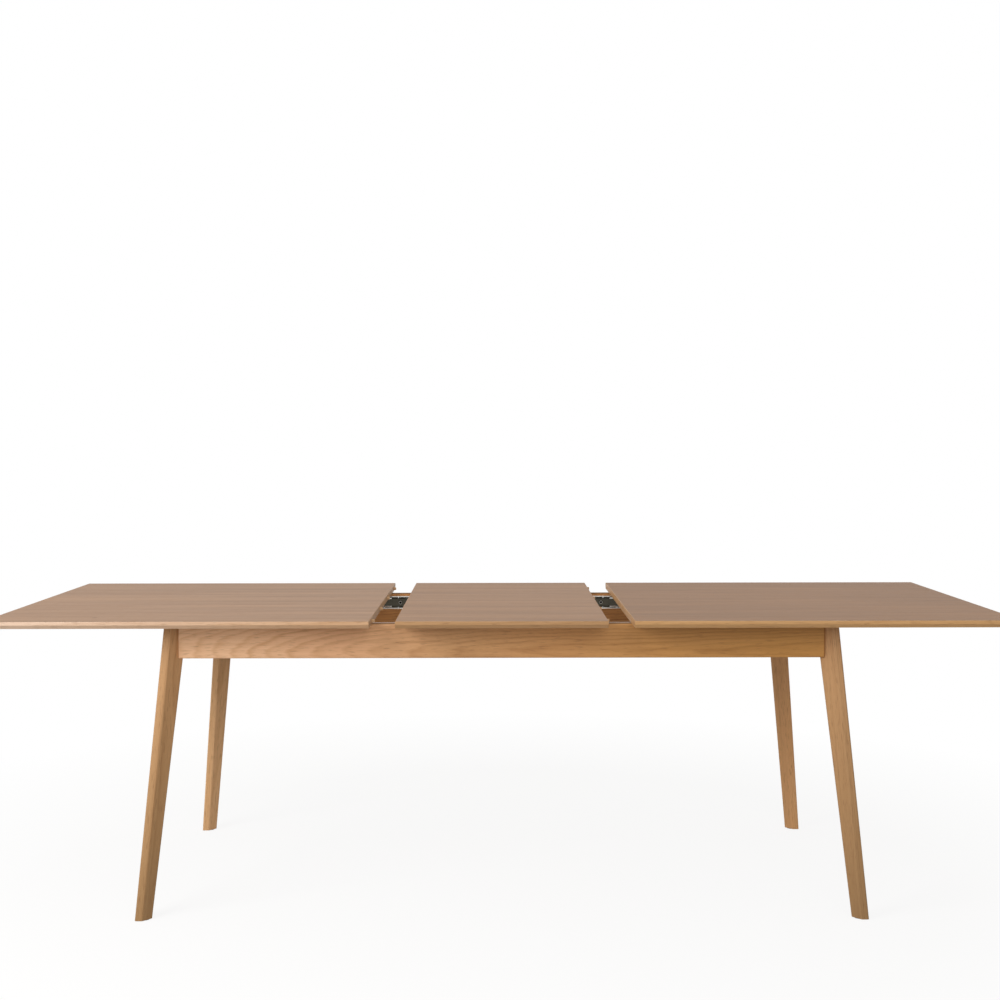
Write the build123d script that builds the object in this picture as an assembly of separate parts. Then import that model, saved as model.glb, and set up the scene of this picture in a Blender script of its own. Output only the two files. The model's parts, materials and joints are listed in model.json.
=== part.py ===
from build123d import *
import math
import os

# Extendable dining table, millimetres, +Z up.
# Origin: on the floor under the middle of the table. +X runs along the length,
# -Y is the front. The two top halves are drawn apart with the leaf between them.

# ---- overall ----
table_height = 750
top_width = 950
half_length = 945
leaf_length = 520
leaf_gap = 64            # open gap left on each side of the leaf
board_thickness = 18
edge_land = 8.5          # upright part of the outer edge
edge_bevel = 8           # how far the underside bevel runs in
top_arris = 1

# ---- legs ----
leg_top_inset = 101      # from the closed top's outline, at the underside of the top
leg_foot_inset = 35      # the same at the floor: the legs splay both ways
leg_top_width = 51       # along X
leg_foot_width = 38
leg_top_depth = 64       # along Y
leg_foot_depth = 47
leg_facet = 19           # flat strip beside the outer arris
leg_nose = 4             # blunt end of the inward nose
outer_arris = 5
facet_arris = 8
nose_arris = 1.8
glide_thickness = 2
glide_diameter = 28

# ---- aprons ----
pad_gap = 2.5            # from the apron's top edge up to the board
apron_height = 85.5
apron_thickness = 22
apron_inset = 108        # apron face, from the closed top's outline
long_apron_end = 135     # the long aprons' ends, let into the legs, from the same outline
end_apron_end = 141      # the end aprons' ends, from the same outline
apron_arris = 3
rail_width = 70
rail_thickness = 22
rail_lift = 26           # rail's middle, above the aprons' lower edge
rail_housing = 8         # how far the rail's ends are let into the aprons

# ---- leaf dowels ----
dowel_diameter = 8
leaf_dowel_stand = 8     # how far a dowel stands out of the edge
leaf_dowel_grip = 22     # how far it is let in
leaf_dowel_count = 4
leaf_dowel_pitch = 260
leaf_dowel_flutes = 12   # the dowels are fluted, so their section has flats
leaf_dowel_tip = 1.5
dowel_clearance = 0.4    # around and beyond the dowel in the socket

# ---- pads ----
pad_length = 40
pad_width = 12
sliding_clearance = 0.3
long_apron_pads = (80, 220, 430, 640)
end_apron_pads = (150,)

# ---- slides ----
sheet = 1.5              # steel thickness
ball_diameter = 5
ball_play = 0.3
slide_drop = 5.5         # channel's top, below the apron's top edge
slide_height = 38
ball_reach = 6.8         # from the apron to the ball rows' centre
channel_gap = 14         # from the channel's end to the corner bracket
member_setback = 2       # member's inner end, behind the board's inner edge
member_web = 5           # centre of the member's web, from the apron
member_bend = 1.2        # slant between its web and its raceways
half_travel = 18         # outward travel left past the drawn pose
cage_sheet = 0.7
cage_web = 2.9           # centre of the cage's web, from the apron
cage_length = 250
cage_lead = 40           # how far the cage stands out past the member's inner end
cage_rim = 1
balls_per_row = 6
ball_pitch = 42
stop_length = 9
stop_height = 12
channel_hole = 5
channel_hole_middle = 300    # the inner hole, from the table's middle
channel_hole_inset = 84      # the outer hole, from the channel's end

# ---- hangers, from slide members up to the boards ----
hanger_sheet = 2.5
hanger_length = 44
hanger_flange = 32
hanger_reach = 15        # centre of its upright, from the apron
hanger_inner_inset = 60  # middle of the inner hanger, from the member's inner end
hanger_outer_inset = 80  # middle of the outer hanger, from its outer end
hanger_rise = 6          # height of its step, above the slide's centre line
hanger_foot = 9          # how far it reaches down the member's web

# ---- corner brackets and fasteners ----
bracket_sheet = 2.5
bracket_height = 60
bracket_lift = 8         # above the apron's lower edge
bracket_flange = 28
bracket_set = 34         # flange bend, from the seat of the apron beside it
bolt_diameter = 8
bolt_length = 70
bolt_tail = 14           # thread standing out past the bracket
nut_flats = 13
nut_height = 6.5

# ---- worked out ----
board_bottom = table_height - board_thickness
frame_top = board_bottom - pad_gap
apron_bottom = frame_top - apron_height
half_width = top_width / 2
inner_edge = leaf_length / 2 + leaf_gap
outer_edge = inner_edge + half_length
apron_face_x = half_length - apron_inset
apron_face_y = half_width - apron_inset
apron_inner_x = apron_face_x - apron_thickness
apron_inner_y = apron_face_y - apron_thickness
apron_seat_x = half_length - long_apron_end
apron_seat_y = half_width - end_apron_end
slide_z = frame_top - slide_drop - slide_height / 2
raceway = ball_diameter / 2 + ball_play + sheet / 2
ball_rise = slide_height / 2 - sheet / 2 - raceway
channel_half = apron_seat_x - bracket_set - bracket_flange - channel_gap
stop_start = channel_half - stop_length
member_start = inner_edge + member_setback
member_end = stop_start - sliding_clearance - half_travel
hanger_top = board_bottom - slide_z
bracket_z = apron_bottom + bracket_lift + bracket_height / 2


def save(node, shape):
    export_step(shape, f"parts/{node}.step")


def save_group(node, solids):
    save(node, Compound(children=list(solids)))


def box(x, y, z):
    """A block from (low, high) pairs."""
    size = [pair[1] - pair[0] for pair in (x, y, z)]
    centre = [(pair[1] + pair[0]) / 2 for pair in (x, y, z)]
    return Pos(*centre) * Box(*size)


def rod(start, end, diameter):
    """A round bar between two points."""
    start, end = Vector(*start), Vector(*end)
    axis = end - start
    plane = Plane(origin=start, z_dir=axis)
    return extrude(plane * Circle(diameter / 2), axis.length)


def flip_x(shape):
    return mirror(shape, about=Plane.YZ)


def flip_y(shape):
    return mirror(shape, about=Plane.XZ)


def four_corners(shape):
    """A back right piece and its three mirror images, by corner name."""
    right = {"back": shape, "front": flip_y(shape)}
    corners = {f"{row}_right": piece for row, piece in right.items()}
    corners.update({f"{row}_left": flip_x(piece) for row, piece in right.items()})
    return corners


# ---- boards ----
def board(x_low, x_high, bevel_low, bevel_high):
    """A board with its outer edges bevelled underneath."""
    def outline(inset):
        low = x_low + inset * bevel_low
        high = x_high - inset * bevel_high
        wide = top_width - 2 * inset
        return Pos((low + high) / 2, 0) * Rectangle(high - low, wide)

    land_z = table_height - edge_land
    under = loft([Pos(0, 0, board_bottom) * outline(edge_bevel),
                  Pos(0, 0, land_z) * outline(0)], ruled=True)
    solid = under + extrude(Pos(0, 0, land_z) * outline(0), edge_land)
    top_edges = solid.faces().sort_by(Axis.Z)[-1].edges()
    return chamfer(top_edges, top_arris)


def dowel_rows():
    first = -(leaf_dowel_count - 1) / 2 * leaf_dowel_pitch
    return [first + i * leaf_dowel_pitch for i in range(leaf_dowel_count)]


def edge_dowels(x_edge):
    """Dowels let into an edge and standing out of it towards +X."""
    z = board_bottom + board_thickness / 2
    section = RegularPolygon(dowel_diameter / 2, leaf_dowel_flutes)
    pins = []
    for y in dowel_rows():
        plane = Plane(origin=(x_edge - leaf_dowel_grip, y, z), z_dir=(1, 0, 0))
        pin = extrude(plane * section, leaf_dowel_grip + leaf_dowel_stand)
        tip = pin.faces().sort_by(Axis.X)[-1].edges()
        pins.append(chamfer(tip, leaf_dowel_tip))
    return pins


def dowel_holes(x_edge, reach, play):
    """Holes into an edge at x_edge, reaching along X."""
    z = board_bottom + board_thickness / 2
    return [rod((x_edge, y, z), (x_edge + reach, y, z), dowel_diameter + 2 * play)
            for y in dowel_rows()]


def make_boards():
    socket = leaf_dowel_stand + dowel_clearance
    leaf_edge = leaf_length / 2
    left = board(-outer_edge, -inner_edge, 1, 0)
    left = left - dowel_holes(-inner_edge, -leaf_dowel_grip, 0)
    right = board(inner_edge, outer_edge, 0, 1)
    right = right - dowel_holes(inner_edge, socket, dowel_clearance)
    leaf = board(-leaf_edge, leaf_edge, 0, 0)
    leaf = leaf - dowel_holes(leaf_edge, -leaf_dowel_grip, 0)
    leaf = leaf - dowel_holes(-leaf_edge, socket, dowel_clearance)
    save("top_half_right", right)
    save("top_half_left", left)
    save("extension_leaf", leaf)
    save_group("dowels_left_half", edge_dowels(-inner_edge))
    save_group("dowels_leaf", edge_dowels(leaf_edge))


# ---- legs ----
def leg_line(z):
    """Outer corner, width and depth of the back right leg at a height."""
    share = z / board_bottom
    inset = leg_foot_inset + (leg_top_inset - leg_foot_inset) * share
    width = leg_foot_width + (leg_top_width - leg_foot_width) * share
    depth = leg_foot_depth + (leg_top_depth - leg_foot_depth) * share
    return half_length - inset, half_width - inset, width, depth


def leg_section(z):
    """Flat outside, flat front and back strips, and a nose pointing inwards."""
    x, y, width, depth = leg_line(z)
    middle = y - depth / 2
    half = [(x, middle + depth / 2), (x - leg_facet, middle + depth / 2),
            (x - width, middle + leg_nose / 2)]
    points = half + [(px, 2 * middle - py) for px, py in reversed(half)]
    face = make_face(Polyline(*points, close=True))
    corners = face.vertices()
    for group, radius in ((lambda v: v.X > x - 1, outer_arris),
                          (lambda v: abs(v.X - x + leg_facet) < 1, facet_arris),
                          (lambda v: v.X < x - width + 1, nose_arris)):
        face = fillet(face.vertices().filter_by(group), radius)
    return Pos(0, 0, z) * face


def make_legs():
    leg = loft([leg_section(glide_thickness), leg_section(frame_top)], ruled=True)
    far = 2 * half_length
    leg -= box((0, apron_seat_x), (apron_inner_y, far), (apron_bottom, far))
    leg -= box((apron_inner_x, apron_face_x), (0, apron_seat_y), (apron_bottom, far))
    leg -= hanger_bolt()
    for corner, piece in four_corners(leg).items():
        save(f"leg_{corner}", piece)

    x, y, width, depth = leg_line(glide_thickness)
    glide = rod((x - width / 2, y - depth / 2, 0),
                (x - width / 2, y - depth / 2, glide_thickness), glide_diameter)
    save_group("foot_glides", four_corners(glide).values())


# ---- aprons and rail ----
def apron(x, y, face_axis):
    """A plank whose show face has softened edges."""
    plank = box(x, y, (apron_bottom, frame_top))
    show = plank.faces().sort_by(face_axis)[-1]
    return fillet(show.edges(), apron_arris)


def housed_apron(x, y, face_axis, run_axis):
    """A plank whose ends are housed, so only its long edges are softened."""
    plank = box(x, y, (apron_bottom, frame_top))
    show = plank.faces().sort_by(face_axis)[-1]
    return fillet(show.edges().filter_by(run_axis), apron_arris)


def make_frame():
    rail_z = apron_bottom + rail_lift
    rail_end = apron_inner_y + rail_housing
    rail = box((-rail_width / 2, rail_width / 2), (-rail_end, rail_end),
               (rail_z - rail_thickness / 2, rail_z + rail_thickness / 2))
    save("centre_cross_rail", rail)

    long_apron = apron((-apron_seat_x, apron_seat_x), (apron_inner_y, apron_face_y), Axis.Y)
    long_apron -= rail
    save("back_apron", long_apron)
    save("front_apron", flip_y(long_apron))

    end_apron = housed_apron((apron_inner_x, apron_face_x), (-apron_seat_y, apron_seat_y),
                             Axis.X, Axis.Y)
    save("right_end_apron", end_apron)
    save("left_end_apron", flip_x(end_apron))


def make_pads():
    top = board_bottom - sliding_clearance
    middle_y = (apron_inner_y + apron_face_y) / 2
    middle_x = (apron_inner_x + apron_face_x) / 2
    pads = []
    for x in long_apron_pads:
        pad = box((x - pad_length / 2, x + pad_length / 2),
                  (middle_y - pad_width / 2, middle_y + pad_width / 2), (frame_top, top))
        pads += four_corners(pad).values()
    for y in end_apron_pads:
        pad = box((middle_x - pad_width / 2, middle_x + pad_width / 2),
                  (y - pad_length / 2, y + pad_length / 2), (frame_top, top))
        pads += four_corners(pad).values()
    save_group("apron_pads", pads)


# ---- slides: sections are drawn as (distance from the apron, height), for the front ----
def slide_bar(face, x_low, x_high):
    """Sweep a slide section along X, on the front apron's inner face."""
    plane = Plane(origin=(x_low, -apron_inner_y, slide_z), x_dir=(0, 1, 0), z_dir=(1, 0, 0))
    return extrude(plane * face, x_high - x_low)


def folded(upper, thickness):
    """A sheet section from its upper half's centre line, mirrored downwards."""
    lower = mirror(Compound(children=list(upper)), about=Plane.XZ)
    return trace(list(upper) + list(lower.edges()), thickness)


def channel_section():
    web = sheet / 2
    tangent = 149
    lip = 75
    race = CenterArc((ball_reach, ball_rise), raceway, tangent, lip - tangent)
    bend = (web, ball_rise - raceway)
    return folded([Line((web, 0), bend), Line(bend, race @ 0), race], sheet)


def member_section():
    race = CenterArc((ball_reach, ball_rise), raceway, -90, 80)
    start = race @ 0
    web = Polyline((member_web, 0), (member_web, start.Y - member_bend),
                   (member_web + member_bend, start.Y), (start.X, start.Y))
    return folded(list(web.edges()) + [race], sheet)


def cage_section():
    hold = (ball_diameter / 2 + ball_play / 2 + cage_rim) / math.sqrt(2)
    rise = ball_rise - (ball_reach - cage_web)
    strip = Polyline((cage_web, 0), (cage_web, rise), (ball_reach + hold, ball_rise + hold))
    return folded(list(strip.edges()), cage_sheet)


def ball_centres(x_low):
    first = x_low + (cage_length - (balls_per_row - 1) * ball_pitch) / 2
    y = -apron_inner_y + ball_reach
    return [(first + i * ball_pitch, y, slide_z + side * ball_rise)
            for side in (1, -1) for i in range(balls_per_row)]


def channel_holes():
    """Screw holes through the front channel's web."""
    back = -apron_inner_y
    places = (channel_hole_middle, channel_half - channel_hole_inset)
    return [rod((side * x, back, slide_z), (side * x, back + sheet, slide_z), channel_hole)
            for x in places for side in (1, -1)]


def faceted_ball():
    """A ball of twelve facets: three crossed bars, with their corners on the true ball."""
    side = ball_diameter / math.sqrt(2)
    bar = Rot(45, 0, 0) * Box(ball_diameter, side, side)
    return bar & Rot(0, 0, 90) * bar & Rot(0, 90, 0) * bar


def ball_window(centre):
    """Opening for one ball through the cage's slanted rim."""
    lean = 45 if centre[2] > slide_z else -45
    side = ball_diameter + ball_play
    return Pos(*centre) * Rot(lean, 0, 0) * Box(side, side, side)


def make_slides():
    web_face = -apron_inner_y
    channel = slide_bar(channel_section(), -channel_half, channel_half) - channel_holes()
    save("slide_channel_front", channel)
    save("slide_channel_back", flip_y(channel))

    member = slide_bar(member_section(), member_start, member_end)
    cage_start = member_start - cage_lead
    cage = slide_bar(cage_section(), cage_start, cage_start + cage_length)
    centres = ball_centres(cage_start)
    cage -= [ball_window(centre) for centre in centres]
    balls = [Pos(*centre) * faceted_ball() for centre in centres]
    for corner, turn in corner_turns().items():
        save(f"slide_member_{corner}", turn(member))
        save(f"ball_cage_{corner}", turn(cage))
        save_group(f"slide_balls_{corner}", [turn(ball) for ball in balls])

    stop = box((stop_start, channel_half),
               (web_face + sheet, web_face + ball_reach),
               (slide_z - stop_height / 2, slide_z + stop_height / 2))
    save_group("slide_end_stops", [turn(stop) for turn in corner_turns().values()])


def corner_turns():
    """Mirrors that carry a front right piece to each corner."""
    return {
        "front_right": lambda shape: shape,
        "back_right": flip_y,
        "front_left": flip_x,
        "back_left": lambda shape: flip_y(flip_x(shape)),
    }


# ---- hangers ----
def hanger_section():
    plate = member_web + sheet / 2 + hanger_sheet / 2
    top = hanger_top - hanger_sheet / 2
    path = Polyline((plate, -hanger_foot), (plate, hanger_rise),
                    (hanger_reach, hanger_rise), (hanger_reach, top),
                    (hanger_reach + hanger_flange, top))
    return trace(path, hanger_sheet)


def make_hangers():
    middles = (member_start + hanger_inner_inset, member_end - hanger_outer_inset)
    hangers = [slide_bar(hanger_section(), middle - hanger_length / 2,
                         middle + hanger_length / 2) for middle in middles]
    hangers += [flip_y(hanger) for hanger in hangers]
    save_group("hanger_brackets_right", hangers)
    save_group("hanger_brackets_left", [flip_x(hanger) for hanger in hangers])


# ---- corner brackets, drawn for the back right corner ----
def bracket_bends():
    """Bend lines on the long apron and on the end apron."""
    skin = bracket_sheet / 2
    long_bend = (apron_seat_x - bracket_set, apron_inner_y - skin)
    end_bend = (apron_inner_x - skin, long_bend[0] + long_bend[1] - apron_inner_x + skin)
    return long_bend, end_bend


def bolt_line():
    """Where the hanger bolt crosses the bracket's web, midway between the aprons' ends."""
    long_bend, end_bend = bracket_bends()
    total = long_bend[0] + long_bend[1]
    spread = ((apron_seat_x - apron_inner_y) + (apron_inner_x - apron_seat_y)) / 2
    return (total + spread) / 2, (total - spread) / 2


def on_bolt(distance):
    """A point along the hanger bolt, measured from the bracket's inner face."""
    x, y = bolt_line()
    step = (distance - bracket_sheet / 2) / math.sqrt(2)
    return x + step, y + step, bracket_z


def hanger_bolt():
    return rod(on_bolt(-bolt_tail), on_bolt(bolt_length - bolt_tail), bolt_diameter)


def bolt_nut():
    plane = Plane(origin=on_bolt(0), z_dir=(-1, -1, 0))
    nut = plane * RegularPolygon(nut_flats / 2, 6, major_radius=False)
    return extrude(nut, nut_height) - hanger_bolt()


def make_corners():
    long_bend, end_bend = bracket_bends()
    path = Polyline((long_bend[0] - bracket_flange, long_bend[1]), long_bend, end_bend,
                    (end_bend[0], end_bend[1] - bracket_flange))
    bracket = extrude(Pos(0, 0, bracket_z - bracket_height / 2) * trace(path, bracket_sheet),
                      bracket_height)
    for corner, piece in four_corners(bracket - hanger_bolt()).items():
        save(f"corner_bracket_{corner}", piece)
    save_group("leg_hanger_bolts", four_corners(hanger_bolt()).values())
    save_group("leg_bolt_nuts", four_corners(bolt_nut()).values())


os.makedirs("parts", exist_ok=True)
make_boards()
make_legs()
make_frame()
make_pads()
make_slides()
make_hangers()
make_corners()
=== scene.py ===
import json
import math

import bmesh
import bpy
from mathutils import Matrix, Vector


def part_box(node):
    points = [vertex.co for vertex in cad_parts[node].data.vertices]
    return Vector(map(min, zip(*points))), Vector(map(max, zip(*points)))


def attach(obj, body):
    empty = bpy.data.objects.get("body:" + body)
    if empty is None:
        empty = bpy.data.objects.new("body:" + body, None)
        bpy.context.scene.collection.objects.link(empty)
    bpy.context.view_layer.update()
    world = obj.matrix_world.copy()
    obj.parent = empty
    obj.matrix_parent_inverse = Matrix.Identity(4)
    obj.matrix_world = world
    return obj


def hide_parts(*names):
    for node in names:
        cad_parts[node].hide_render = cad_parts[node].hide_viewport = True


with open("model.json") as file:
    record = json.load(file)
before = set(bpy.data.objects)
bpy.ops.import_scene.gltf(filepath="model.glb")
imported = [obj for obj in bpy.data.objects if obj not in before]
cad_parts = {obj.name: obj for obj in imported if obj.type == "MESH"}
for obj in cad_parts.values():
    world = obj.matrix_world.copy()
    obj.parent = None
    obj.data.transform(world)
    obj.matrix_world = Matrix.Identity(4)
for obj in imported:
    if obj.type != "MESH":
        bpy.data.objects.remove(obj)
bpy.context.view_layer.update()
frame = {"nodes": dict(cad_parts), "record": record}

nodes = frame["nodes"]
mm = 0.001
corners = [f"{row}_{side}" for row in ("front", "back") for side in ("left", "right")]
bodyOf = {node: body for body, members in frame["record"]["behaviour"]["bodies"].items()
          for node in members}
slotOf = {part["node"]: part["material_slot"] for part in frame["record"]["subparts"]}


def fromHex(text):
    # sRGB hex to linear colour
    channels = [int(text[i:i + 2], 16) / 255 for i in (1, 3, 5)]
    linear = [c / 12.92 if c <= 0.04045 else ((c + 0.055) / 1.055) ** 2.4 for c in channels]
    return (*linear, 1)


def addNode(tree, kind, inputs=None, **settings):
    # inputs: socket name or number to a value or to another node's output
    node = tree.nodes.new(kind)
    for name, value in settings.items():
        setattr(node, name, value)
    for key, value in (inputs or {}).items():
        if isinstance(value, bpy.types.NodeSocket):
            tree.links.new(value, node.inputs[key])
        else:
            node.inputs[key].default_value = value
    return node


def maths(tree, operation, *values):
    return addNode(tree, "ShaderNodeMath", dict(enumerate(values)), operation=operation).outputs[0]


def ramp(tree, factor, stops):
    # stops: (position, colour) pairs
    node = addNode(tree, "ShaderNodeValToRGB", {0: factor})
    elements = node.color_ramp.elements
    while len(elements) < len(stops):
        elements.new(0.5)
    for element, (position, colour) in zip(elements, stops):
        element.position = position
        element.color = colour
    return node.outputs["Color"]


def grey(value):
    return (value, value, value, 1)


def mixColour(tree, factor, first, second):
    node = addNode(tree, "ShaderNodeMix", {0: factor, 6: first, 7: second}, data_type="RGBA")
    return node.outputs[2]


def newMaterial(name):
    material = bpy.data.materials.new(name)
    material.use_nodes = True
    material.node_tree.nodes.clear()
    return material, material.node_tree


def surface(tree, shader):
    addNode(tree, "ShaderNodeOutputMaterial", {"Surface": shader.outputs[0]})


# Oak, planed and sanded, under a satin lacquer: growth rings cut into arches on the face,
# some darker than others, short dark pores along the grain, and a slow drift of tone.
# A pair of sizes runs along the grain and across it.
oak = {
    "early": "#D3A67A", "late": "#A8784A", "pore": "#7A5231",
    "ringMm": 6, "warpMm": 8, "wanderMm": (300, 45), "ringDepth": 0.5, "ringLuck": 0.8,
    "luckRings": 0.45,    # how fast a ring's luck changes from one to the next
    "ringShape": ((0, 0.15), (0.45, 0.35), (0.78, 1), (1, 0.15)),    # share of a ring, darkness
    "fibreMm": (60, 1.8), "fibre": 0.3, "streakMm": (500, 9), "streak": 0.22,
    "poreMm": (30, 2.2), "pores": 0.34,    # real pores are 0.3 mm wide; drawn coarser to show
    "poreFrom": (0.58, 0.7), "driftMm": (900, 120), "drift": 0.1,
    "roughness": 0.5, "roughSpread": 0.16, "gloss": 0.4, "index": 1.45,
    "bump": 0.12, "bumpMm": 0.3,
}
# Legs are cut from plain straight-grained oak, so the rings run as close parallel lines.
# These tones darken from the top of a leg towards its foot: painted shade near the floor.
legOakLook = dict(oak, ringMm=3.2, warpMm=2.5, ringDepth=0.4, streakMm=(500, 6), streak=0.18,
                  drift=0.08, alongM=0.36, early=("#AB865C", "#D0A273"),
                  late=("#8D663C", "#AD7B4E"))
# The same oak sliced as veneer and laid in leaves side by side: flat, even and quiet.
veneer = dict(oak, ringMm=4.5, warpMm=5, ringDepth=0.48, streakMm=(500, 16), streak=0.22,
              drift=0.13, leafMm=158, leafSlideM=3, leafTone=0.07, dashMm=(170, 9),
              dashFrom=(0.66, 0.76), dashes=0.22, gloss=0.3)
# Beech: close and even, with small dark flecks and almost no ring.
beech = dict(oak, early="#D9B48A", late="#C99E72", pore="#A6784E", ringMm=3, warpMm=4,
             ringDepth=0.3, streak=0.06, poreMm=(3, 0.5), pores=0.3, drift=0.05)

# Each layer of noise in a wood, with its own seed, and its size under the same name in a look.
woodLayers = {"streak": {"seed": 4, "detail": 3}, "fibre": {"seed": 9, "detail": 2},
              "drift": {"seed": 17, "detail": 2}, "pore": {"seed": 23, "detail": 1},
              "dash": {"seed": 31, "detail": 1}}
noiseRoughness = 0.55
turnGrain = {"X": (0, 0, 0), "Y": (0, 0, -math.pi / 2), "Z": (0, math.pi / 2, 0)}


def stretchedNoise(tree, point, sizeMm, detail=2, seed=0):
    # noise whose cells measure so much along X and so much across it
    along, across = sizeMm
    scaled = addNode(tree, "ShaderNodeMapping", {
        "Vector": point, "Location": (seed, 0, 0),
        "Scale": (1000 / along, 1000 / across, 1000 / across)}).outputs[0]
    return addNode(tree, "ShaderNodeTexNoise", {
        "Vector": scaled, "Scale": 1, "Detail": detail, "Roughness": noiseRoughness}).outputs[0]


def darkPeaks(tree, noise, limits):
    # nothing up to the lower limit, all from the upper one on
    return ramp(tree, noise, list(zip(limits, (grey(0), grey(1)))))


def ringRadius(tree, point, look, cut):
    # how far each point lies from the tree's centre, in metres
    axis = addNode(tree, "ShaderNodeMapping", {
        "Vector": point, "Location": (0, cut["pithMm"][0] * mm, cut["pithMm"][1] * mm),
        "Rotation": (0, *(math.radians(angle) for angle in cut["tiltDeg"]))}).outputs[0]
    parts = addNode(tree, "ShaderNodeSeparateXYZ", {0: axis})
    sweep = maths(tree, "MAXIMUM", maths(tree, "MULTIPLY", parts.outputs[0], -1), 0)
    bent = maths(tree, "MULTIPLY_ADD", maths(tree, "MULTIPLY", sweep, sweep),
                 cut.get("bend", 0), parts.outputs[1])
    across = maths(tree, "MULTIPLY", bent, bent)
    deep = maths(tree, "MULTIPLY", parts.outputs[2], parts.outputs[2])
    radius = maths(tree, "SQRT", maths(tree, "ADD", across, deep))
    wander = stretchedNoise(tree, point, look["wanderMm"], 3, cut.get("seed", 0))
    return maths(tree, "MULTIPLY_ADD", wander, look["warpMm"] * mm * 2, radius)


def wood(name, look, grain, middle, cut):
    # cut: how the piece lies in the tree, as sideways and downwards to the tree's centre,
    # its tilt and the tree's bend, and where a knot shows
    material, tree = newMaterial(name)
    seed = cut.get("seed", 0)
    place = addNode(tree, "ShaderNodeTexCoord").outputs["Object"]
    centred = addNode(tree, "ShaderNodeVectorMath", {0: place, 1: middle}, operation="SUBTRACT")
    turned = addNode(tree, "ShaderNodeMapping", {
        "Vector": centred.outputs[0], "Rotation": turnGrain[grain]}).outputs[0]
    if "leanDeg" in cut:    # grain that follows a splayed leg
        lean = [math.radians(angle) for angle in cut["leanDeg"]]
        turned = addNode(tree, "ShaderNodeMapping", {
            "Vector": turned, "Rotation": (0, *lean)}).outputs[0]
    leafTone = None
    if "leafMm" in look:
        turned, leafTone = veneerLeaves(tree, turned, look)
    rings = maths(tree, "DIVIDE", ringRadius(tree, turned, look, cut), look["ringMm"] * mm)
    late = ramp(tree, maths(tree, "FRACT", rings), [
        (share, grey(dark)) for share, dark in look["ringShape"]])
    luck = addNode(tree, "ShaderNodeTexNoise", {
        "W": maths(tree, "MULTIPLY", rings, look["luckRings"]), "Scale": 1, "Detail": 1},
        noise_dimensions="1D").outputs[0]
    strength = maths(tree, "MULTIPLY_ADD", luck, 2 * look["ringLuck"], 1 - look["ringLuck"])
    lateShare = maths(tree, "MULTIPLY", maths(tree, "MULTIPLY", late, strength),
                      look["ringDepth"])

    def layer(kind):
        settings = woodLayers[kind]
        return stretchedNoise(tree, turned, look[kind + "Mm"], settings["detail"],
                              settings["seed"] + seed)

    streak, fibre, drift = layer("streak"), layer("fibre"), layer("drift")
    pores = darkPeaks(tree, layer("pore"), look["poreFrom"])
    tone = maths(tree, "MULTIPLY_ADD", streak, look["streak"] * 4, lateShare)
    tone = maths(tree, "MULTIPLY_ADD", fibre, look["fibre"], tone)
    tone = maths(tree, "SUBTRACT", tone, look["streak"] * 2 + look["fibre"] / 2)
    colour = mixColour(tree, tone, toneAlong(tree, turned, look, "early"),
                       toneAlong(tree, turned, look, "late"))
    shade = maths(tree, "MULTIPLY_ADD", drift, look["drift"] * 4, 1 - 2 * look["drift"])
    if leafTone:
        shade = maths(tree, "MULTIPLY", shade, leafTone)
    shaded = addNode(tree, "ShaderNodeVectorMath", {0: colour, 1: shade}, operation="MULTIPLY")
    poreShare = maths(tree, "MULTIPLY", pores, look["pores"])
    if "dashMm" in look:    # long and narrow dark streaks, few and far between
        dashes = darkPeaks(tree, layer("dash"), look["dashFrom"])
        poreShare = maths(tree, "MULTIPLY_ADD", dashes, look["dashes"], poreShare)
    if "pinKnot" in cut:
        knot = cut["pinKnot"]
        away = addNode(tree, "ShaderNodeVectorMath", {0: place, 1: knot["place"]},
                       operation="DISTANCE").outputs["Value"]
        knot = addNode(tree, "ShaderNodeMapRange", {
            "Value": away, "From Min": knot["heartMm"] * mm, "From Max": knot["reachMm"] * mm,
            "To Min": knot["darkness"], "To Max": 0}).outputs[0]
        poreShare = maths(tree, "MAXIMUM", poreShare, knot)
    final = mixColour(tree, poreShare, shaded.outputs[0], fromHex(look["pore"]))
    rough = maths(tree, "MULTIPLY_ADD", fibre, look["roughSpread"],
                  look["roughness"] - look["roughSpread"] / 2)
    height = maths(tree, "SUBTRACT", fibre, pores)
    bump = addNode(tree, "ShaderNodeBump", {
        "Height": height, "Strength": look["bump"], "Distance": look["bumpMm"] * mm})
    shader = addNode(tree, "ShaderNodeBsdfPrincipled", {
        "Base Color": final, "Roughness": rough, "Normal": bump.outputs[0],
        "IOR": look["index"], "Specular IOR Level": look["gloss"]})
    surface(tree, shader)
    return material


def toneAlong(tree, point, look, part):
    # one colour, or colours that follow each other along the grain
    if "alongM" not in look:
        return fromHex(look[part])
    along = addNode(tree, "ShaderNodeSeparateXYZ", {0: point}).outputs[0]
    reach = look["alongM"]
    place = addNode(tree, "ShaderNodeMapRange", {
        "Value": along, "From Min": -reach, "From Max": reach}).outputs[0]
    tones = look[part]
    return ramp(tree, place, [(i / (len(tones) - 1), fromHex(t)) for i, t in enumerate(tones)])


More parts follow.
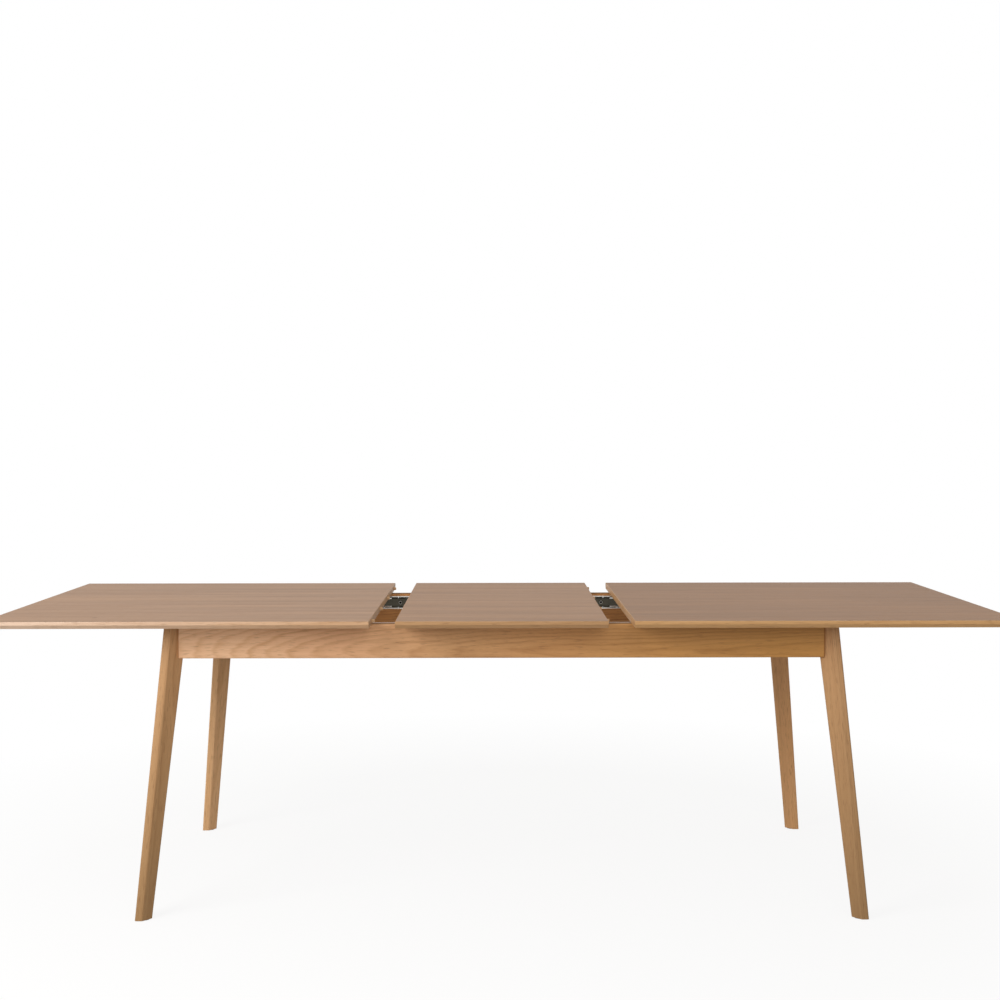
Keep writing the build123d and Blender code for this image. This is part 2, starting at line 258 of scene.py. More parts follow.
def veneerLeaves(tree, point, look):
    # each leaf has the same figure, slid along and a little lighter or darker
    width = look["leafMm"] * mm
    parts = addNode(tree, "ShaderNodeSeparateXYZ", {0: point})
    count = maths(tree, "FLOOR", maths(tree, "DIVIDE", parts.outputs[1], width))
    middle = maths(tree, "MULTIPLY", maths(tree, "ADD", count, 0.5), width)
    within = maths(tree, "SUBTRACT", parts.outputs[1], middle)
    luck = addNode(tree, "ShaderNodeTexWhiteNoise", {"W": count}, noise_dimensions="1D")
    slid = maths(tree, "MULTIPLY_ADD", luck.outputs[0], look["leafSlideM"], parts.outputs[0])
    leaf = addNode(tree, "ShaderNodeCombineXYZ", {0: slid, 1: within, 2: parts.outputs[2]})
    tone = maths(tree, "MULTIPLY_ADD", luck.outputs[0], look["leafTone"],
                 1 - look["leafTone"] / 2)
    return leaf.outputs[0], tone


def middleOf(node):
    low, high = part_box(node)
    return tuple((low + high) / 2)


metalLook = {"rollMm": 60, "cloudMm": 9, "roughSpread": 0.2, "bump": 0.08, "bumpMm": 0.1}
plasticLook = {"shade": 0.2, "bump": 0.1, "bumpMm": 0.1}


def metal(name, colour, roughness, grainMm, spangle, wornAndHighlight=None):
    # the last argument gives a lighter colour at a distance above and below a height: partly wear
    # where balls run, partly painted highlight
    material, tree = newMaterial(name)
    place = addNode(tree, "ShaderNodeTexCoord").outputs["Object"]
    rolled = stretchedNoise(tree, place, (metalLook["rollMm"], grainMm))
    cloud = stretchedNoise(tree, place, (metalLook["cloudMm"],) * 2, 3, 5)
    shade = maths(tree, "MULTIPLY_ADD", cloud, spangle * 2, 1 - spangle)
    base = fromHex(colour)[:3]
    if wornAndHighlight:
        height = addNode(tree, "ShaderNodeSeparateXYZ", {0: place}).outputs[2]
        away = maths(tree, "ABSOLUTE", maths(tree, "SUBTRACT", height, slideZ))
        wornAndHighlightShare = addNode(tree, "ShaderNodeMapRange", {
            "Value": away, "From Min": wornAndHighlight["fromMm"] * mm,
            "From Max": wornAndHighlight["toMm"] * mm}).outputs[0]
        base = mixColour(tree, wornAndHighlightShare, fromHex(colour), fromHex(wornAndHighlight["colour"]))
    tinted = addNode(tree, "ShaderNodeVectorMath", {0: base, 1: shade}, operation="MULTIPLY")
    rough = maths(tree, "MULTIPLY_ADD", rolled, metalLook["roughSpread"],
                  roughness - metalLook["roughSpread"] / 2)
    bump = addNode(tree, "ShaderNodeBump", {
        "Height": rolled, "Strength": metalLook["bump"], "Distance": metalLook["bumpMm"] * mm})
    shader = addNode(tree, "ShaderNodeBsdfPrincipled", {
        "Base Color": tinted.outputs[0], "Metallic": 1.0, "Roughness": rough,
        "Normal": bump.outputs[0]})
    surface(tree, shader)
    return material


def plastic(name, colour, roughness, grainMm):
    material, tree = newMaterial(name)
    place = addNode(tree, "ShaderNodeTexCoord").outputs["Object"]
    grain = stretchedNoise(tree, place, (grainMm, grainMm))
    shade = maths(tree, "MULTIPLY_ADD", grain, plasticLook["shade"],
                  1 - plasticLook["shade"] / 2)
    tinted = addNode(tree, "ShaderNodeVectorMath", {0: fromHex(colour)[:3], 1: shade},
                     operation="MULTIPLY")
    bump = addNode(tree, "ShaderNodeBump", {
        "Height": grain, "Strength": plasticLook["bump"],
        "Distance": plasticLook["bumpMm"] * mm})
    shader = addNode(tree, "ShaderNodeBsdfPrincipled", {
        "Base Color": tinted.outputs[0], "Roughness": roughness, "Normal": bump.outputs[0]})
    surface(tree, shader)
    return material


print("stage: materials")
channelLow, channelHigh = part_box("slide_channel_front")
slideZ = (channelLow.z + channelHigh.z) / 2
boardMiddle = (0, 0, 0.74)
dowelMiddle = (0, 0, 0.741)
# bright colour for bands on the slides: partly wear, partly painted highlight
wornAndHighlightBright = "#F2EFE9"
rift = {"pithMm": (210, 120), "tiltDeg": (0.5, 0.3)}
edgeCut = {"pithMm": (160, 90), "tiltDeg": (0.6, 0.4)}
edgeLook = dict(oak, ringMm=4, ringDepth=0.35, streak=0.12, drift=0.05)
lippingReach = 1.27    # metres either way that a row of tones covers
# Lipping: the long edges run with the grain, the ends that meet the leaf are a little darker.
edgeTones = {
    # painted light: the left board's long edges grow paler towards its left end, standing in for
    # light and sheen from the left
    "top_half_left": {"X": (("#DFC4AE", "#D0A883", "#D0A883", "#D0A883"),
                            ("#C7A286", "#B48A62", "#B48A62", "#B48A62")),
                      "Y": ("#B8936E", "#9C7650")},
    "extension_leaf": {"X": ("#C0966B", "#A2794C"), "Y": ("#B88D60", "#9C7044")},
    "top_half_right": {"X": ("#D4A773", "#BA8854"), "Y": ("#BC9163", "#A07444")},
}
apronCuts = {
    "front_apron": ("X", {"pithMm": (58, 24), "tiltDeg": (0, -1.4), "bend": 0.075, "seed": 2}),
    "back_apron": ("X", {"pithMm": (66, -20), "tiltDeg": (0, 2.6), "seed": 31}),
    "left_end_apron": ("Y", {"pithMm": (55, 18), "tiltDeg": (0, 3.6), "seed": 43}),
    "right_end_apron": ("Y", {"pithMm": (58, -22), "tiltDeg": (0, -3), "seed": 57}),
}
# The long front apron is one plank, paler towards the left end and golden towards the right:
# partly the plank's own tone, partly painted light falling from the left.
apronLooks = {"back_apron": dict(oak, early="#CC9156", late="#9E6535"),
              "front_apron": dict(oak, alongM=0.675, pore="#7C5030",
                                  early=("#F0C59E", "#E6B48A", "#D5A473",
                                         "#DEA66C", "#CE9859", "#C89250"),
                                  late=("#CC976A", "#BB885B", "#AD7C4D",
                                        "#B37C48", "#A46F37", "#9D6A31"))}
apronOak = {node: wood(f"oak_{node}", apronLooks.get(node, oak), grain, middleOf(node), cut)
            for node, (grain, cut) in apronCuts.items()}
# The back legs get lighter tones than the front legs: painted light, standing in for light that
# reaches them.
legTones = {"back_left": ("#E7BA8A", "#C79461"), "back_right": ("#E6B27E", "#C38D59")}
legLooks = {corner: dict(legOakLook, early=(tones[0],) * 2, late=(tones[1],) * 2)
            for corner, tones in legTones.items()}
# Each leg lies a step further on in the tree, and its grain follows its splay.
legCut = {"pithMm": (110, 120), "pithStepMm": (12, -9), "tiltDeg": (0.4, 0.3), "tiltStepDeg": 0.2,
          "seed": 60, "seedStep": 7, "leanDeg": 5}
legOak = {}
for i, corner in enumerate(corners):
    lean = legCut["leanDeg"]
    legOak[f"leg_{corner}"] = wood(
        f"oakLeg_{corner}", legLooks.get(corner, legOakLook), "Z", middleOf(f"leg_{corner}"),
        {"pithMm": [at + i * step for at, step in zip(legCut["pithMm"], legCut["pithStepMm"])],
         "tiltDeg": (legCut["tiltDeg"][0] - legCut["tiltStepDeg"] * i, legCut["tiltDeg"][1]),
         "seed": legCut["seed"] + legCut["seedStep"] * i,
         "leanDeg": (lean if "right" in corner else -lean, lean if "back" in corner else -lean)})
# Each board has its own tone, darker from left to right: partly the boards' own tone, partly
# painted light falling from the left.
veneerTones = {"top_half_left": ("#AF8867", "#936B47"), "extension_leaf": ("#AA815D", "#8E6541"),
               "top_half_right": ("#A0754E", "#845C35")}
pinKnots = {"top_half_left": {"pinKnot": {
    "place": (-1.012, -0.39, 0.75), "heartMm": 2.5, "reachMm": 10, "darkness": 0.75}}}
veneerTop = {node: wood(f"oakVeneer_{node}", dict(veneer, early=early, late=late), "X",
                        (0, 0, 0), dict(rift, seed=3 * i, **pinKnots.get(node, {})))
             for i, (node, (early, late)) in enumerate(veneerTones.items())}
edgeOak = {}
for node, tones in edgeTones.items():
    edgeOak[node] = []
    for grain, (early, late) in tones.items():
        look = dict(edgeLook, early=early, late=late)
        if isinstance(early, tuple):
            look["alongM"] = lippingReach
        edgeOak[node].append(wood(f"oakEdge{grain}_{node}", look, grain, boardMiddle, edgeCut))
railBeech = wood("beechRail", beech, "Y", middleOf("centre_cross_rail"),
                 {"pithMm": (60, 40), "tiltDeg": (0.5, 0.5)})
dowelBeech = wood("beechDowel", beech, "X", dowelMiddle,
                  {"pithMm": (3, 9), "tiltDeg": (0.5, 0.5)})
zincSteel = metal("zincPlatedSteel", "#A19E98", 0.44, 0.8, 0.12)   # rolled strip, dull zinc
# The slides are drawn dark: painted shade from the boards above. Their lighter bands, where the
# balls run, are partly worn bright and partly painted highlight.
slideSteel = metal("blackZincSteel", "#504D44", 0.4, 0.8, 0.14,
                   {"fromMm": 15, "toMm": 17, "colour": wornAndHighlightBright})
memberSteel = metal("blackZincMember", "#504D44", 0.4, 0.8, 0.14,
                    {"fromMm": 9, "toMm": 11.5, "colour": wornAndHighlightBright})
boreShadePaint = metal("shadedBore", "#1D1B18", 0.6, 0.5, 0.1)          # painted shade: dark floor of the eyelets' shallow holes
screwSteel = metal("clearZincSteel", "#A5A29B", 0.35, 0.5, 0.06)   # turned heads, cleaner zinc
brightSteel = metal("brightSteel", "#C9CBCD", 0.2, 0.5, 0.04)      # hardened ball steel
nylonDark = plastic("nylonDark", "#2B2522", 0.5, 0.6)              # moulded, fine matt grain
nylonFelt = plastic("nylonFelt", "#97795C", 0.95, 1.2)             # needled fibre, no gloss


# Angles between faces: shaded sharp from, taken for an edge from, taken for flat up to.
angleDeg = {"sharpFrom": 32, "edgeFrom": 25, "flatTo": 0.4}
mergeMm = {"solids": 0.002, "smallShapes": 0.001}    # points closer than this become one


def finish(name, bm, body, materials, replaced=()):
    # one object from a bmesh, riding its body
    bm.normal_update()
    for face in bm.faces:
        face.smooth = True
    mesh = bpy.data.meshes.new(name)
    bm.to_mesh(mesh)
    bm.free()
    for material in materials:
        mesh.materials.append(material)
    mesh.set_sharp_from_angle(angle=math.radians(angleDeg["sharpFrom"]))
    piece = bpy.data.objects.new(name, mesh)
    bpy.context.scene.collection.objects.link(piece)
    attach(piece, body)
    if replaced:
        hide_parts(*replaced)
    return piece


def dress(node, bm, materials, ending=""):
    # a piece that takes a solid's place, with its body and slot
    return finish(node.replace("_", "-") + ending, bm, bodyOf[node], materials,
                  [node])


def evenNormals(piece):
    # flat faces stay flat beside their rounded edges
    modifier = piece.modifiers.new("evenNormals", "WEIGHTED_NORMAL")
    modifier.keep_sharp = True
    modifier.weight = 100


def mergedCopy(node):
    bm = bmesh.new()
    bm.from_mesh(nodes[node].data)
    bmesh.ops.remove_doubles(bm, verts=bm.verts, dist=mergeMm["solids"] * mm)
    bmesh.ops.dissolve_limit(bm, angle_limit=math.radians(angleDeg["flatTo"]),
                             verts=bm.verts, edges=bm.edges)
    return bm


def softenEdges(bm, radiusMm, segments=3, shortestMm=12):
    # round the long edges between faces that meet at an angle
    edges = [edge for edge in bm.edges if edge.is_manifold
             and edge.calc_length() > shortestMm * mm
             and edge.calc_face_angle() > math.radians(angleDeg["edgeFrom"])]
    bmesh.ops.bevel(bm, geom=edges, offset=radiusMm * mm, offset_type="OFFSET",
                    segments=segments, profile=0.5, affect="EDGES", material=-1)


def solidsOf(node):
    # the separate solids of a node, as lists of points, in the order of their first points
    bm = mergedCopy(node)
    seen = set()
    groups = []
    for first in bm.verts:
        if first in seen:
            continue
        seen.add(first)
        stack = [first]
        group = []
        while stack:
            vert = stack.pop()
            group.append(vert.co.copy())
            for edge in vert.link_edges:
                other = edge.other_vert(vert)
                if other not in seen:
                    seen.add(other)
                    stack.append(other)
        groups.append(group)
    bm.free()
    return groups


def spanOf(points):
    low = Vector([min(p[i] for p in points) for i in range(3)])
    high = Vector([max(p[i] for p in points) for i in range(3)])
    return low, high


print("stage: wooden pieces")
boardShape = {"arrisMm": 0.8}
levelFrom = 0.97    # how upright a face's normal is on the veneered faces


def makeBoard(node):
    # veneer above and below, solid lipping round the edges
    bm = mergedCopy(node)
    softenEdges(bm, boardShape["arrisMm"])
    bm.normal_update()
    for face in bm.faces:
        normal = face.normal
        if abs(normal.z) > levelFrom:
            face.material_index = 0
        else:
            face.material_index = 1 if abs(normal.y) > abs(normal.x) else 2
    evenNormals(dress(node, bm, [veneerTop[node], *edgeOak[node]], "-veneered"))


for boardNode in ("top_half_left", "top_half_right", "extension_leaf"):
    makeBoard(boardNode)

frameShape = {"arrisMm": 0.5, "legEndMm": 1.2}
for node, material in {**apronOak, **legOak, "centre_cross_rail": railBeech}.items():
    bm = mergedCopy(node)
    softenEdges(bm, frameShape["legEndMm" if node.startswith("leg") else "arrisMm"])
    evenNormals(dress(node, bm, [material], "-planed"))

# tipSteps: each step's share of the tip's length, and the share of the radius left after it
dowelShape = {"flutes": 16, "fluteMm": 0.35, "tipMm": 1.6,
              "tipSteps": ((0.55, 0.93), (0.3, 0.78), (0.15, 0.5))}


def makeDowels(node):
    # fluted pins with a rounded tip; each lies along X
    bm = bmesh.new()
    for points in solidsOf(node):
        low, high = spanOf(points)
        centre = (low + high) / 2
        radius = (high.z - low.z) / 2
        base = Vector((low.x, centre.y, centre.z))
        turn = Matrix.Translation(base) @ Matrix.Rotation(math.pi / 2, 4, "Y")
        made = bmesh.ops.create_circle(bm, cap_ends=True, segments=2 * dowelShape["flutes"],
                                       radius=radius, matrix=turn)["verts"]
        for vert in made[::2]:
            vert.co -= (vert.co - base).normalized() * dowelShape["fluteMm"] * mm
        face = made[0].link_faces[0]
        grown = bmesh.ops.extrude_face_region(bm, geom=[face])["geom"]
        tip = [g for g in grown if isinstance(g, bmesh.types.BMVert)]
        length = high.x - low.x
        bmesh.ops.translate(bm, verts=tip, vec=(length - dowelShape["tipMm"] * mm, 0, 0))
        tipFace = [g for g in grown if isinstance(g, bmesh.types.BMFace)]
        for step, share in dowelShape["tipSteps"]:
            more = bmesh.ops.extrude_face_region(bm, geom=tipFace)["geom"]
            tip = [g for g in more if isinstance(g, bmesh.types.BMVert)]
            tipFace = [g for g in more if isinstance(g, bmesh.types.BMFace)]
            bmesh.ops.translate(bm, verts=tip, vec=(step * dowelShape["tipMm"] * mm, 0, 0))
            heart = sum((v.co for v in tip), Vector()) / len(tip)
            for vert in tip:
                spoke = vert.co - heart
                vert.co = heart + spoke.normalized() * radius * share
    bmesh.ops.recalc_face_normals(bm, faces=bm.faces)
    dress(node, bm, [dowelBeech], "-fluted")


for dowelNode in ("dowels_left_half", "dowels_leaf"):
    makeDowels(dowelNode)

print("stage: slides and brackets")
slotSurface = {"zinc_steel": zincSteel, "bright_steel": brightSteel, "nylon": nylonDark}
for node, slot in slotOf.items():
    if slot in slotSurface:
        material = slotSurface[slot]
        if node.startswith(("slide_channel", "slide_member", "ball_cage")):
            material = memberSteel if "member" in node else slideSteel
        for held in nodes[node].material_slots:
            held.material = material

ballShape = {"rings": 8}
for corner in corners:
    node = f"slide_balls_{corner}"
    bm = bmesh.new()
    for points in solidsOf(node):
        low, high = spanOf(points)
        bmesh.ops.create_uvsphere(bm, u_segments=2 * ballShape["rings"],
                                  v_segments=ballShape["rings"], radius=(high.z - low.z) / 2,
                                  matrix=Matrix.Translation((low + high) / 2))
    dress(node, bm, [brightSteel], "-ground")


def spun(bm, profile, steps=24):
    # turn (radius, height) points in millimetres round the Z axis, poles closed
    points = [bm.verts.new((radius * mm, 0, height * mm)) for radius, height in profile]
    edges = [bm.edges.new(pair) for pair in zip(points, points[1:])]
    bmesh.ops.spin(bm, geom=points + edges, cent=(0, 0, 0), axis=(0, 0, 1),
                   angle=2 * math.pi, steps=steps, use_merge=True)


recessShape = {"armMm": 1.9, "halfWidthMm": 0.55, "depthMm": 1.3, "taper": 0.6, "rimMm": 0.1}


def crossRecess(bm, radius, top, scale=1):
    # the middle of a screw head, sunk as a cross
    arm, half = recessShape["armMm"] * scale * mm, recessShape["halfWidthMm"] * scale * mm
    quarter = [(arm, 0), (arm, half), ((arm + half) / 2, half), (half, half),
               (half, (arm + half) / 2), (half, arm)]
    steps = 4 * len(quarter)
    disc = bmesh.ops.create_circle(bm, cap_ends=True, segments=steps, radius=radius * mm,
                                   matrix=Matrix.Translation((0, 0, top * mm)))["verts"]
    face = disc[0].link_faces[0]
    bmesh.ops.inset_individual(bm, faces=[face], thickness=recessShape["rimMm"] * mm)
    for vert in face.verts:
        step = round(math.atan2(vert.co.y, vert.co.x) / math.radians(360 / steps)) % steps
        turns, place = divmod(step, len(quarter))
        spoke = Matrix.Rotation(math.radians(90 * turns), 3, "Z") @ Vector((*quarter[place], 0))
        vert.co.x, vert.co.y = spoke.x, spoke.y
    bottom = bmesh.ops.extrude_discrete_faces(bm, faces=[face])["faces"][0]
    for vert in bottom.verts:
        vert.co.x *= recessShape["taper"]
        vert.co.y *= recessShape["taper"]
        vert.co.z -= recessShape["depthMm"] * scale * mm


def facing(place, direction):
    turn = Vector(direction).to_track_quat("Z", "Y").to_matrix().to_4x4()
    return Matrix.Translation(place) @ turn


def repeated(build, places):
    # the same small shape at each place, in one bmesh
    small = bmesh.new()
    build(small)
    bmesh.ops.remove_doubles(small, verts=small.verts, dist=mergeMm["smallShapes"] * mm)
    bmesh.ops.recalc_face_normals(small, faces=small.faces)
    mesh = bpy.data.meshes.new("small")
    small.to_mesh(mesh)
    small.free()
    bm = bmesh.new()
    for place in places:
        before = len(bm.verts)
        bm.from_mesh(mesh)
        bm.verts.ensure_lookup_table()
        bmesh.ops.transform(bm, matrix=place, verts=bm.verts[before:])
    bpy.data.meshes.remove(mesh)
    return bm


print("stage: screws, rivets and nuts")
panHead = {"profileMm": [(0, -3), (1.6, -3), (2, -2.4), (2, 0), (4, 0), (4, 0.9), (3.7, 1.7),
                         (3.1, 2.2), (2.3, 2.4)], "recessMm": (2.3, 2.4, 0.95)}
flushHead = {"profileMm": [(0, -1.4), (2.35, -1.4), (2.35, 0), (2.2, 0.22), (1.75, 0.34)],
             "recessMm": (1.75, 0.34, 0.72)}
rivetHead = {"profileMm": [(0, -0.4), (3, -0.4), (3, 0.1), (2.8, 0.6), (2.2, 1.05), (1.3, 1.32),
                           (0, 1.4)]}


def headBuilder(shape):
    def build(bm):
        spun(bm, shape["profileMm"])
        if "recessMm" in shape:
            crossRecess(bm, *shape["recessMm"])
    return build


def signsOf(point):
    return math.copysign(1, point.x), math.copysign(1, point.y)


frontLow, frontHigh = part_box("front_apron")
backLow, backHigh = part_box("back_apron")
innerFaces = {1: backLow.y, -1: frontHigh.y}    # the long aprons' inner faces, by side in Y
screwShape = {"middleX": 0.3, "channelEndMm": 84, "sheetMm": 1.5}
channelEnd = channelHigh.x - screwShape["channelEndMm"] * mm
places = [facing((x, face - side * screwShape["sheetMm"] * mm, slideZ), (0, -side, 0))
          for side, face in innerFaces.items()
          for x in (-channelEnd, -screwShape["middleX"], screwShape["middleX"], channelEnd)]
finish("channel-screws", repeated(headBuilder(flushHead), places), "frame",
       [screwSteel])

hangerShape = {"apartMm": 24, "sheetMm": 2.5, "screwMm": 31, "plateMm": 5.75, "rivetUpMm": 7.5}
for hand in ("left", "right"):
    node = f"hanger_brackets_{hand}"
    rivets, screws = [], []
    for points in solidsOf(node):
        low, high = spanOf(points)
        middle = (low + high) / 2
        side = signsOf(middle)[1]
        for step in (-0.5, 0.5):
            x = middle.x + step * hangerShape["apartMm"] * mm
            rivets.append((x, side, low.z))
            y = innerFaces[side] - side * hangerShape["screwMm"] * mm
            screws.append(facing((x, y, high.z - hangerShape["sheetMm"] * mm), (0, 0, -1)))
    finish(f"board-screws-{hand}", repeated(headBuilder(panHead), screws), bodyOf[node],
           [screwSteel])
    seatMm = hangerShape["plateMm"] + hangerShape["sheetMm"]
    heads = [facing((x, innerFaces[side] - side * seatMm * mm,
                     foot + hangerShape["rivetUpMm"] * mm), (0, -side, 0))
             for x, side, foot in rivets]
    finish(f"hanger-rivets-{hand}", repeated(headBuilder(rivetHead), heads), bodyOf[node],
           [screwSteel])

bracketScrews = {"freeEndMm": 12, "heightMm": 15, "sheetMm": 2.5}
places = []
endFaces = {1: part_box("right_end_apron")[0].x, -1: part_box("left_end_apron")[1].x}
for corner in corners:
    low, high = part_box(f"corner_bracket_{corner}")
    sideX, sideY = signsOf(high)
    nearX = min(abs(low.x), abs(high.x)) + bracketScrews["freeEndMm"] * mm
    nearY = min(abs(low.y), abs(high.y)) + bracketScrews["freeEndMm"] * mm
    for z in (low.z + bracketScrews["heightMm"] * mm, high.z - bracketScrews["heightMm"] * mm):
        sheetY = innerFaces[sideY] - sideY * bracketScrews["sheetMm"] * mm
        sheetX = endFaces[sideX] - sideX * bracketScrews["sheetMm"] * mm
        places.append(facing((sideX * nearX, sheetY, z), (0, -sideY, 0)))
        places.append(facing((sheetX, sideY * nearY, z), (-sideX, 0, 0)))
finish("bracket-screws", repeated(headBuilder(panHead), places), "frame",
       [screwSteel])

eyeletShape = {"middleX": 0.3, "holeMm": 3.6, "profileMm": [
    (0, -0.3), (4.9, -0.3), (4.9, 0.05), (4.6, 0.3), (3.9, 0.3), (3.6, 0.05), (0, 0.05)]}
for corner in corners:
    node = f"ball_cage_{corner}"
    low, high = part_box(node)
    hand, side = signsOf(high)
    y = low.y if side > 0 else high.y
    bm = repeated(headBuilder(eyeletShape), [
        facing((hand * eyeletShape["middleX"], y, slideZ), (0, -side, 0))])
    # faces inside the hole take the painted shade, the rim stays zinc
    for face in bm.faces:
        middle = face.calc_center_median()
        away = math.hypot(middle.x - hand * eyeletShape["middleX"], middle.z - slideZ)
        face.material_index = 1 if away < eyeletShape["holeMm"] * mm else 0
    finish(node.replace("_", "-") + "-eyelet", bm, bodyOf[node],
           [zincSteel, boreShadePaint])

nutShape = {"flatsMm": 13, "holeMm": 8.2, "roundMm": 12.2, "cornerFall": 0.6,
            "blankMm": 14, "insetMm": 0.05, "steps": 24}
boltShape = {"diameterMm": 8, "pitchMm": 1.25, "depthMm": 0.55, "endMm": 0.6, "steps": 16}


def alongCorner(points):
    # reach of a solid along its corner's diagonal, and where that axis starts
    low, high = spanOf(points)
    middle = (low + high) / 2
    out = Vector((*signsOf(middle), 0)).normalized()
    spread = [(p - middle).dot(out) for p in points]
    return middle, out, min(spread) / mm, max(spread) / mm


def buildNut(height):
    def build(bm):
        disc = bmesh.ops.create_circle(bm, cap_ends=True, segments=nutShape["steps"],
                                       radius=nutShape["blankMm"] / 2 * mm)["verts"]
        hole = disc[0].link_faces[0]
        for vert in disc:
            turn = math.atan2(vert.co.y, vert.co.x) % math.radians(60) - math.radians(30)
            vert.co *= nutShape["flatsMm"] / 2 / math.cos(turn) * mm / vert.co.length
        for radius in (nutShape["roundMm"] / 2, nutShape["holeMm"] / 2):
            bmesh.ops.inset_individual(bm, faces=[hole], thickness=nutShape["insetMm"] * mm)
            for vert in hole.verts:
                vert.co *= radius * mm / vert.co.length
        bmesh.ops.delete(bm, geom=[hole], context="FACES_ONLY")
        grown = bmesh.ops.extrude_face_region(bm, geom=list(bm.faces))["geom"]
        far = [g for g in grown if isinstance(g, bmesh.types.BMVert)]
        bmesh.ops.translate(bm, verts=far, vec=(0, 0, height * mm))
        for vert in bm.verts:
            over = max(vert.co.xy.length - nutShape["roundMm"] / 2 * mm, 0)
            over *= nutShape["cornerFall"]
            vert.co.z += over if vert.co.z < height / 2 * mm else -over
    return build


def buildBolt(length):
    radius = boltShape["diameterMm"] / 2
    root = radius - boltShape["depthMm"]
    end, pitch = boltShape["endMm"], boltShape["pitchMm"]
    profile = [(0, 0), (root - end, 0)]
    for turn in range(int((length - 1) / pitch)):
        start = end + turn * pitch
        profile += [(root, start), (radius, start + pitch / 2)]
    profile += [(root, length - end), (0, length)]

    def build(bm):
        spun(bm, profile, boltShape["steps"])
    return build


for node, builder in (("leg_bolt_nuts", buildNut), ("leg_hanger_bolts", buildBolt)):
    reaches = [alongCorner(points) for points in solidsOf(node)]
    length = reaches[0][3] - reaches[0][2]
    dress(node, repeated(builder(length), [
        facing(middle + out * near * mm, out) for middle, out, near, far in reaches]),
        [screwSteel])

glides = [spanOf(points) for points in solidsOf("foot_glides")]
glideShape = {"edgeMm": ((1.4, 0), (0.5, 0.25), (0, 0.9)), "steps": 32}    # in from the rim, up
glideSize = (glides[0][1] - glides[0][0]) / mm
radius, thick = glideSize.x / 2, glideSize.z
glideProfile = [(0, 0), *((radius - inward, up) for inward, up in glideShape["edgeMm"]),
                (radius, thick), (0, thick)]
dress("foot_glides", repeated(
    lambda bm: spun(bm, glideProfile, glideShape["steps"]),
    [Matrix.Translation(((low.x + high.x) / 2, (low.y + high.y) / 2, low.z))
     for low, high in glides]), [nylonDark])

padShape = {"arrisMm": 0.4, "shortestMm": 6}
bm = mergedCopy("apron_pads")
softenEdges(bm, padShape["arrisMm"], 2, padShape["shortestMm"])
dress("apron_pads", bm, [nylonDark])

# Felt on the long aprons' tops, between the pads that the boards' ends pass over.
feltShape = {"fromX": 0.245, "toX": 0.405, "insetMm": 3, "thickMm": 2, "roundMm": 0.5}
bm = bmesh.new()
for apronLow, apronHigh in ((frontLow, frontHigh), (backLow, backHigh)):
    for hand in (-1, 1):
        made = bmesh.ops.create_cube(bm, size=1)["verts"]
        size = Vector((feltShape["toX"] - feltShape["fromX"],
                       apronHigh.y - apronLow.y - 2 * feltShape["insetMm"] * mm,
                       feltShape["thickMm"] * mm))
        bmesh.ops.scale(bm, verts=made, vec=size)
        bmesh.ops.translate(bm, verts=made, vec=(
            hand * (feltShape["fromX"] + feltShape["toX"]) / 2, (apronLow.y + apronHigh.y) / 2,
            apronHigh.z + size.z / 2))
bmesh.ops.bevel(bm, geom=list(bm.edges), offset=feltShape["roundMm"] * mm,
                offset_type="OFFSET", segments=2, profile=0.5, affect="EDGES", material=-1)
finish("apron-felt", bm, "frame", [nylonFelt])

print("stage: floor, light and camera")
stageLook = {"floor": "#BCB9B4", "floorM": 30, "shadowShare": 0.12, "fade": (1.2, 2.3),
             "worldLight": 0.5, "worldColour": (1, 0.97, 0.92, 1)}


def cameraShare(tree):
    path = addNode(tree, "ShaderNodeLightPath")
    both = maths(tree, "MAXIMUM", path.outputs["Is Camera Ray"], path.outputs["Is Glossy Ray"])
    return maths(tree, "MAXIMUM", both, path.outputs["Is Transmission Ray"])


def makeFloor():
    bm = bmesh.new()
    bmesh.ops.create_grid(bm, x_segments=1, y_segments=1, size=stageLook["floorM"])
    mesh = bpy.data.meshes.new("floor")
    bm.to_mesh(mesh)
    bm.free()
    floor = bpy.data.objects.new("floor", mesh)
    bpy.context.scene.collection.objects.link(floor)
    material, tree = newMaterial("paintedFloor")
    seen = addNode(tree, "ShaderNodeLightPath").outputs["Is Camera Ray"]
    tint = mixColour(tree, seen, fromHex(stageLook["floor"]), grey(1))
    lit = addNode(tree, "ShaderNodeBsdfDiffuse", {"Color": tint})
    white = addNode(tree, "ShaderNodeEmission", {"Color": grey(1), "Strength": 1.0})
    place = addNode(tree, "ShaderNodeTexCoord").outputs["Object"]
    far = addNode(tree, "ShaderNodeVectorMath", {0: place}, operation="LENGTH").outputs["Value"]
    near = addNode(tree, "ShaderNodeMapRange", {
        "Value": far, "From Min": stageLook["fade"][0], "From Max": stageLook["fade"][1],
        "To Min": stageLook["shadowShare"], "To Max": 0.0}).outputs[0]
    share = maths(tree, "MULTIPLY", cameraShare(tree), maths(tree, "SUBTRACT", 1, near))
    mixed = addNode(tree, "ShaderNodeMixShader", {0: share, 1: lit.outputs[0],
                                                  2: white.outputs[0]})
    below = addNode(tree, "ShaderNodeNewGeometry").outputs["Backfacing"]
    clear = addNode(tree, "ShaderNodeBsdfTransparent")
    oneSided = addNode(tree, "ShaderNodeMixShader", {0: below, 1: mixed.outputs[0],
                                                     2: clear.outputs[0]})
    surface(tree, oneSided)
    mesh.materials.append(material)


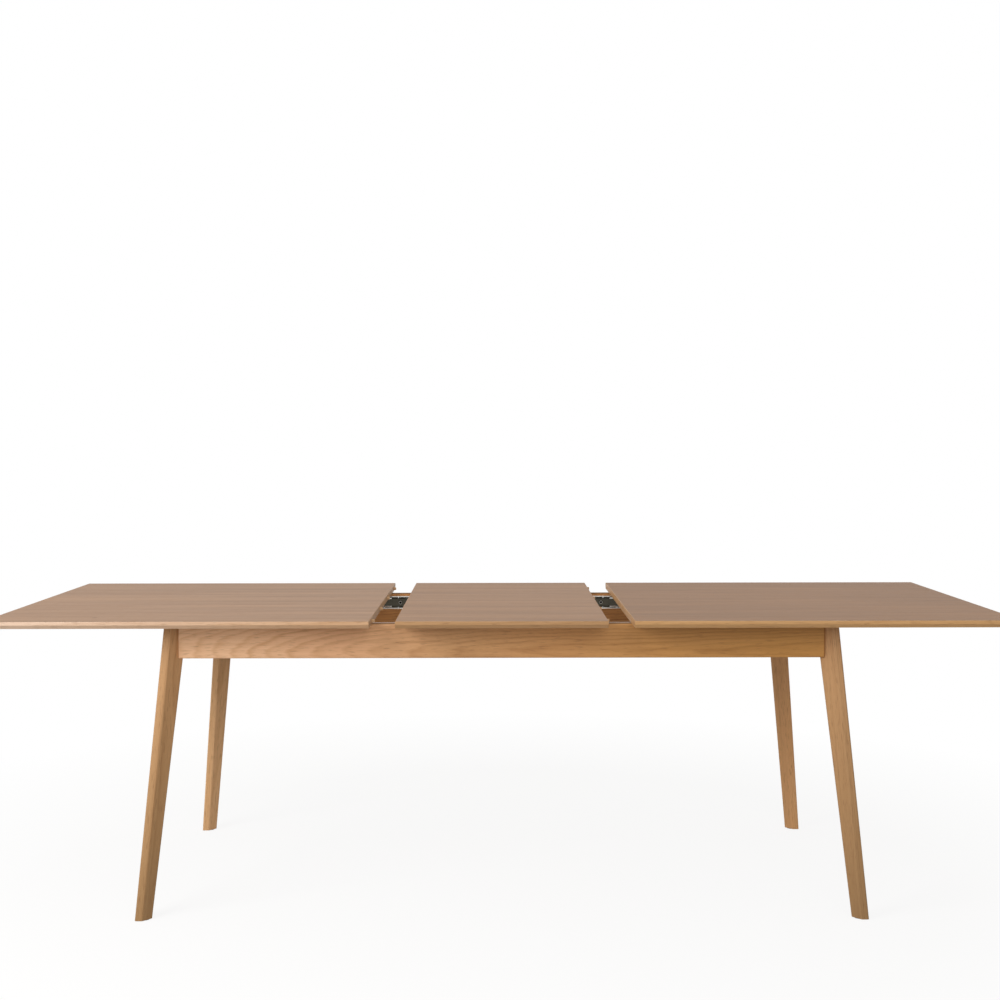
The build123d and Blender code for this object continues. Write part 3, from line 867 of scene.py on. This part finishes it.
def makeWorld():
    world = bpy.data.worlds.new("studio")
    bpy.context.scene.world = world
    world.use_nodes = True
    tree = world.node_tree
    tree.nodes.clear()
    soft = addNode(tree, "ShaderNodeBackground", {"Color": stageLook["worldColour"],
                                                  "Strength": stageLook["worldLight"]})
    white = addNode(tree, "ShaderNodeBackground", {"Color": grey(1), "Strength": 1.0})
    mixed = addNode(tree, "ShaderNodeMixShader", {0: cameraShare(tree), 1: soft.outputs[0],
                                                  2: white.outputs[0]})
    addNode(tree, "ShaderNodeOutputWorld", {"Surface": mixed.outputs[0]})


lamps = {
    "keyLamp": {"place": (-2.7, -2.4, 2.1), "aim": (-0.8, -0.3, 0.6), "size": 2,
                "power": 80, "colour": (1, 0.99, 0.98)},
    "fillLamp": {"place": (0.7, -4.4, 2.2), "aim": (0, 0, 0.6), "size": 2.2,
                 "power": 30, "colour": (1, 0.98, 0.95)},
}


def makeLamps():
    for name, lamp in lamps.items():
        light = bpy.data.lights.new(name, "AREA")
        light.shape = "SQUARE"
        light.size = lamp["size"]
        light.energy = lamp["power"]
        light.color = lamp["colour"]
        holder = bpy.data.objects.new(name, light)
        bpy.context.scene.collection.objects.link(holder)
        holder.location = lamp["place"]
        aim = Vector(lamp["aim"]) - Vector(lamp["place"])
        holder.rotation_euler = aim.to_track_quat("-Z", "Y").to_euler()


cameraLook = {"place": (-0.0151, -3.970, 1.1895), "turnDeg": -0.18, "downDeg": 2.367,
              "rollDeg": -0.079, "lens": 52.01, "sensorMm": 36}


def makeCamera():
    data = bpy.data.cameras.new("camera")
    data.lens = cameraLook["lens"]
    data.sensor_width = cameraLook["sensorMm"]
    camera = bpy.data.objects.new("camera", data)
    bpy.context.scene.collection.objects.link(camera)
    turn = Matrix.Rotation(math.radians(cameraLook["turnDeg"]), 4, "Z")
    tip = Matrix.Rotation(math.radians(90 - cameraLook["downDeg"]), 4, "X")
    roll = Matrix.Rotation(math.radians(cameraLook["rollDeg"]), 4, "Z")
    camera.matrix_world = Matrix.Translation(cameraLook["place"]) @ turn @ tip @ roll
    bpy.context.scene.camera = camera


makeFloor()
makeWorld()
makeLamps()
makeCamera()
bpy.context.scene.view_settings.view_transform = "Standard"

print("stage: done")
